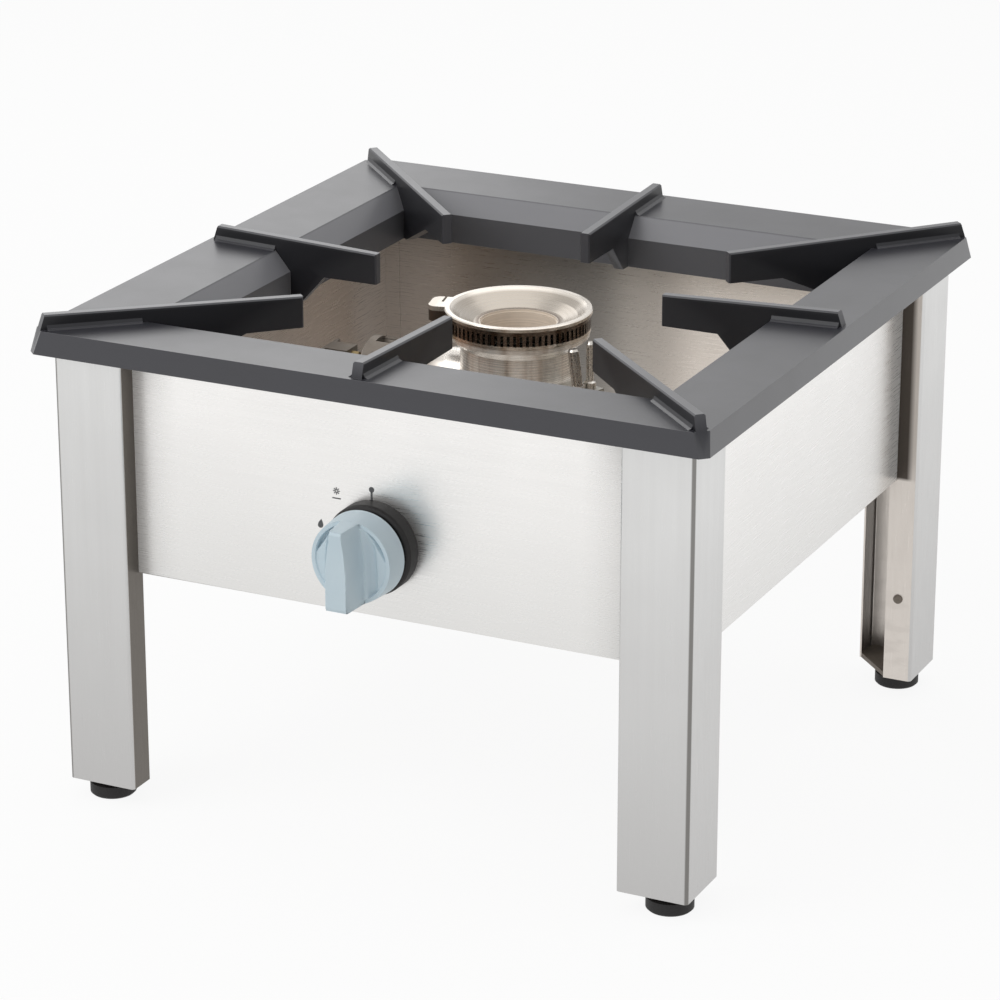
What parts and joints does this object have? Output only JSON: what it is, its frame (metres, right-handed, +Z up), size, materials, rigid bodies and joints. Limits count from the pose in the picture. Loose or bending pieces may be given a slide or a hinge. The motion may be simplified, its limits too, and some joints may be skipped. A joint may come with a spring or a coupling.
{
  "type": "stock pot range",
  "caption": "Low floor-standing gas stock pot range: square folded steel body on legs, cast pan support with inward fingers, ring burner and a front control knob.",
  "frame": {"origin": "on the floor, under the burner's axis", "axes": "+Z up, +X to the right seen from the front, +Y to the rear; the knob faces -Y"},
  "size_m": [0.58, 0.6442, 0.415],
  "materials": {
    "cast_iron": "satin dark grey enamel on cast iron",
    "stainless_sheet": "fine brushed stainless sheet",
    "black_plastic": "matt black",
    "zinc_steel": "zinc plated",
    "burner_alloy": "bare light casting",
    "stainless_small": "bright turned",
    "brass": "bare, pressed and turned",
    "nickel_steel": "plated tube",
    "copper_alloy": "soft copper tube",
    "knob_plastic": "light blue-grey, satin"
  },
  "bodies": {
    "frame": {"front_panel": "stainless_sheet", "rear_panel": "stainless_sheet", "left_panel": "stainless_sheet", "right_panel": "stainless_sheet", "leg_front_left": "stainless_sheet", "leg_front_right": "stainless_sheet", "leg_rear_right": "stainless_sheet", "leg_rear_left": "stainless_sheet", "foot_plate_front_left": "stainless_sheet", "foot_plate_front_right": "stainless_sheet", "foot_plate_rear_right": "stainless_sheet", "foot_plate_rear_left": "stainless_sheet", "knob_bezel": "black_plastic", "foot_nuts": "zinc_steel", "leg_screws": "zinc_steel", "burner_bridge": "zinc_steel", "bridge_screws": "zinc_steel", "burner_screws": "zinc_steel", "holder_screws": "zinc_steel", "bracket_screws": "zinc_steel", "tap_screws": "zinc_steel", "pilot_bracket": "zinc_steel", "inlet_washer": "zinc_steel", "inlet_locknut": "zinc_steel", "burner_body": "burner_alloy", "thermocouple_probe": "stainless_small", "pilot_burner": "stainless_small", "injector": "brass", "injector_holder": "brass", "tap_body": "brass", "tap_bonnet": "brass", "magnet_nut": "brass", "supply_nuts": "brass", "feed_nuts": "brass", "pilot_nuts": "brass", "inlet_connector": "brass", "magnet_unit": "nickel_steel", "supply_pipe": "nickel_steel", "feed_pipe": "copper_alloy", "pilot_tube": "copper_alloy", "thermocouple_lead": "copper_alloy"},
    "pan_support": {"pan_support": "cast_iron"},
    "crown": {"burner_crown": "burner_alloy"},
    "plug": {"tap_plug": "brass"},
    "knob": {"knob": "knob_plastic", "knob_clip": "zinc_steel", "tap_spindle": "stainless_small", "spindle_spring": "zinc_steel"},
    "shutter": {"air_shutter": "stainless_small", "shutter_screw": "zinc_steel"},
    "foot_front_left": {"foot_pad_front_left": "black_plastic", "foot_stud_front_left": "zinc_steel"},
    "foot_front_right": {"foot_pad_front_right": "black_plastic", "foot_stud_front_right": "zinc_steel"},
    "foot_rear_right": {"foot_pad_rear_right": "black_plastic", "foot_stud_rear_right": "zinc_steel"},
    "foot_rear_left": {"foot_pad_rear_left": "black_plastic", "foot_stud_rear_left": "zinc_steel"}
  },
  "joints": [
    {"name": "pan_support_lift", "type": "slide", "parent": "frame", "child": "pan_support", "axis": [0, 0, 1], "range_m": [0, 0.1]},
    {"name": "burner_crown_lift", "type": "slide", "parent": "frame", "child": "crown", "axis": [0, 0, 1], "range_m": [0, 0.038]},
    {"name": "knob_turn", "type": "hinge", "parent": "frame", "child": "plug", "pos_m": [0, -0.2239, 0.259], "axis": [0, -1, 0], "range_deg": [0, 180]},
    {"name": "knob_push", "type": "slide", "parent": "plug", "child": "knob", "axis": [0, 1, 0], "range_m": [0, 0.004], "stiffness_N_per_m": 1500, "springref_m": -0.002},
    {"name": "air_shutter_turn", "type": "hinge", "parent": "frame", "child": "shutter", "pos_m": [-0.12, 0, 0.3135], "axis": [1, 0, 0], "range_deg": [0, 60]},
    {"name": "foot_front_left_height", "type": "slide", "parent": "frame", "child": "foot_front_left", "axis": [0, 0, -1], "range_m": [0, 0.015]},
    {"name": "foot_front_right_height", "type": "slide", "parent": "frame", "child": "foot_front_right", "axis": [0, 0, -1], "range_m": [0, 0.015]},
    {"name": "foot_rear_right_height", "type": "slide", "parent": "frame", "child": "foot_rear_right", "axis": [0, 0, -1], "range_m": [0, 0.015]},
    {"name": "foot_rear_left_height", "type": "slide", "parent": "frame", "child": "foot_rear_left", "axis": [0, 0, -1], "range_m": [0, 0.015]}
  ]
}
